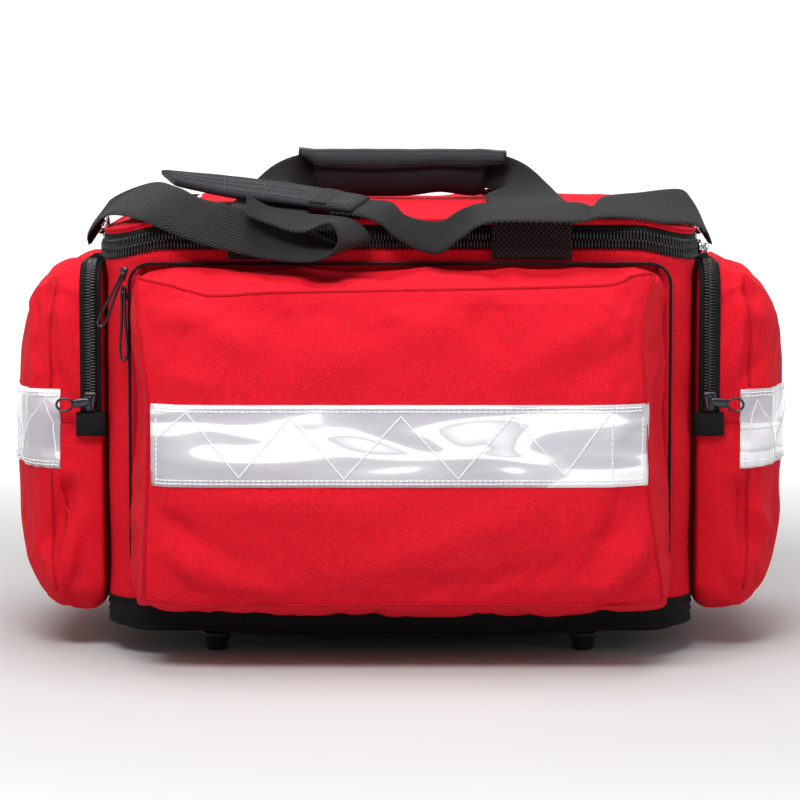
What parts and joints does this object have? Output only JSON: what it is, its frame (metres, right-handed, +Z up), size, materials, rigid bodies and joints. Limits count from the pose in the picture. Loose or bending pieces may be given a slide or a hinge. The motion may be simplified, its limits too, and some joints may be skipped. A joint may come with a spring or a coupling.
{
  "type": "trauma holdall",
  "caption": "Zip-top first-responder holdall with box pockets, twin carry handles joined by a grip wrap, and a clip-on padded shoulder strap.",
  "frame": {"origin": "on the floor under the middle of the whole bag's footprint", "axes": "+X along the bag's length to the right, +Y from the front to the rear, +Z up"},
  "size_m": [0.4928, 0.3186, 0.3155],
  "materials": {
    "red_fabric": "coated polyester weave",
    "black_fabric": "coated polyester weave",
    "webbing": "ribbed polypropylene webbing",
    "padded_nylon": "smooth nylon",
    "divider_fabric": "brushed loop fabric over foam",
    "reflective_tape": "glossy prismatic tape",
    "zip_coil": "nylon coil and woven tape",
    "chrome": "polished plate",
    "gunmetal": "black nickel",
    "foot_plastic": "moulded",
    "stiffener_board": "matt board"
  },
  "bodies": {
    "root": {"main_shell": "red_fabric", "base_panel": "black_fabric", "base_board": "stiffener_board", "foot_front_left": "foot_plastic", "foot_front_right": "foot_plastic", "foot_rear_left": "foot_plastic", "foot_rear_right": "foot_plastic", "rivet_front_left": "chrome", "rivet_front_right": "chrome", "rivet_rear_left": "chrome", "rivet_rear_right": "chrome", "divider_left": "divider_fabric", "divider_right": "divider_fabric", "main_zip_lower": "zip_coil", "front_pocket_zip_inner": "zip_coil", "front_anchor_left": "webbing", "front_anchor_right": "webbing", "rear_anchor_left": "webbing", "rear_anchor_right": "webbing", "left_pocket_shell": "red_fabric", "left_pocket_strip": "reflective_tape", "left_pocket_zip": "zip_coil", "left_zip_tab": "black_fabric", "right_pocket_shell": "red_fabric", "right_pocket_strip": "reflective_tape", "right_pocket_zip": "zip_coil", "right_zip_tab": "black_fabric", "left_ring_tab": "webbing", "right_ring_tab": "webbing", "left_d_ring": "chrome", "right_d_ring": "chrome", "left_snap_hook": "chrome", "right_snap_hook": "chrome", "left_hook_bar": "chrome", "right_hook_bar": "chrome"},
    "lid": {"lid_panel": "red_fabric", "main_zip_upper": "zip_coil", "strap_left": "webbing", "strap_right": "webbing", "shoulder_pad": "padded_nylon", "strap_adjuster": "chrome"},
    "front_handle": {"front_handle": "webbing"},
    "rear_handle": {"rear_handle": "webbing", "grip_wrap": "padded_nylon", "grip_flap": "padded_nylon"},
    "front_pocket": {"front_pocket_shell": "red_fabric", "front_reflective_strip": "reflective_tape", "front_pocket_zip_outer": "zip_coil", "pocket_slider_top": "gunmetal"},
    "pocket_pull_top": {"pocket_pull_top": "gunmetal"},
    "pocket_slider_side": {"pocket_slider_side": "gunmetal"},
    "pocket_pull_side": {"pocket_pull_side": "gunmetal"},
    "left_slider": {"left_slider": "gunmetal"},
    "left_pull": {"left_pull": "gunmetal"},
    "right_slider": {"right_slider": "gunmetal"},
    "right_pull": {"right_pull": "gunmetal"},
    "main_slider": {"main_slider": "chrome"},
    "main_pull": {"main_pull": "chrome"},
    "left_gate": {"left_hook_gate": "chrome"},
    "right_gate": {"right_hook_gate": "chrome"}
  },
  "joints": [
    {"name": "lid_hinge", "type": "hinge", "parent": "root", "child": "lid", "pos_m": [0, 0.15275, 0.2637], "axis": [-1, 0, 0], "range_deg": [0, 80], "deforming": ["strap_left", "strap_right", "front_handle", "grip_flap"]},
    {"name": "front_handle_swing", "type": "hinge", "parent": "root", "child": "front_handle", "pos_m": [0, -0.10335, 0.2525], "axis": [1, 0, 0], "range_deg": [0, 96], "deforming": ["front_handle"]},
    {"name": "rear_handle_swing", "type": "hinge", "parent": "root", "child": "rear_handle", "pos_m": [0, 0.15765, 0.2525], "axis": [-1, 0, 0], "range_deg": [0, 120]},
    {"name": "front_pocket_hinge", "type": "hinge", "parent": "root", "child": "front_pocket", "pos_m": [0, -0.10065, 0.036], "axis": [1, 0, 0], "range_deg": [0, 28]},
    {"name": "pocket_pull_top_swing", "type": "hinge", "parent": "front_pocket", "child": "pocket_pull_top", "pos_m": [-0.1722, -0.10915, 0.243], "axis": [0, 1, 0], "range_deg": [0, 90]},
    {"name": "pocket_slider_side_run", "type": "slide", "parent": "front_pocket", "child": "pocket_slider_side", "axis": [0, 0, -1], "range_m": [0, 0.15]},
    {"name": "pocket_pull_side_swing", "type": "hinge", "parent": "pocket_slider_side", "child": "pocket_pull_side", "pos_m": [-0.1722, -0.10705, 0.231], "axis": [0, 1, 0], "range_deg": [0, 60]},
    {"name": "left_slider_run", "type": "slide", "parent": "root", "child": "left_slider", "axis": [0, 0, 1], "range_m": [0, 0.058]},
    {"name": "left_pull_swing", "type": "hinge", "parent": "left_slider", "child": "left_pull", "pos_m": [-0.1955, -0.08585, 0.1608], "axis": [0, 0, 1], "range_deg": [0, 150]},
    {"name": "right_slider_run", "type": "slide", "parent": "root", "child": "right_slider", "axis": [0, 0, 1], "range_m": [0, 0.058]},
    {"name": "right_pull_swing", "type": "hinge", "parent": "right_slider", "child": "right_pull", "pos_m": [0.1955, -0.08585, 0.1608], "axis": [0, 0, -1], "range_deg": [0, 150]},
    {"name": "main_slider_run", "type": "slide", "parent": "root", "child": "main_slider", "axis": [0, 1, 0], "range_m": [0, 0.052]},
    {"name": "main_pull_swing", "type": "hinge", "parent": "main_slider", "child": "main_pull", "pos_m": [0.1936, -0.05885, 0.2567], "axis": [0, 0, 1], "range_deg": [0, 150]},
    {"name": "left_gate_hinge", "type": "hinge", "parent": "root", "child": "left_gate", "pos_m": [-0.1985, -0.00235, 0.265], "axis": [0, 0, -1], "range_deg": [0, 16], "stiffness_Nm_per_rad": 0.005},
    {"name": "right_gate_hinge", "type": "hinge", "parent": "root", "child": "right_gate", "pos_m": [0.1985, -0.00235, 0.265], "axis": [0, 0, 1], "range_deg": [0, 16], "stiffness_Nm_per_rad": 0.005}
  ],
  "couplings": [
    {"joint": "front_handle_swing", "follows": "lid_hinge", "ratio": 1.2},
    {"joint": "rear_handle_swing", "follows": "lid_hinge", "ratio": 1.5}
  ]
}
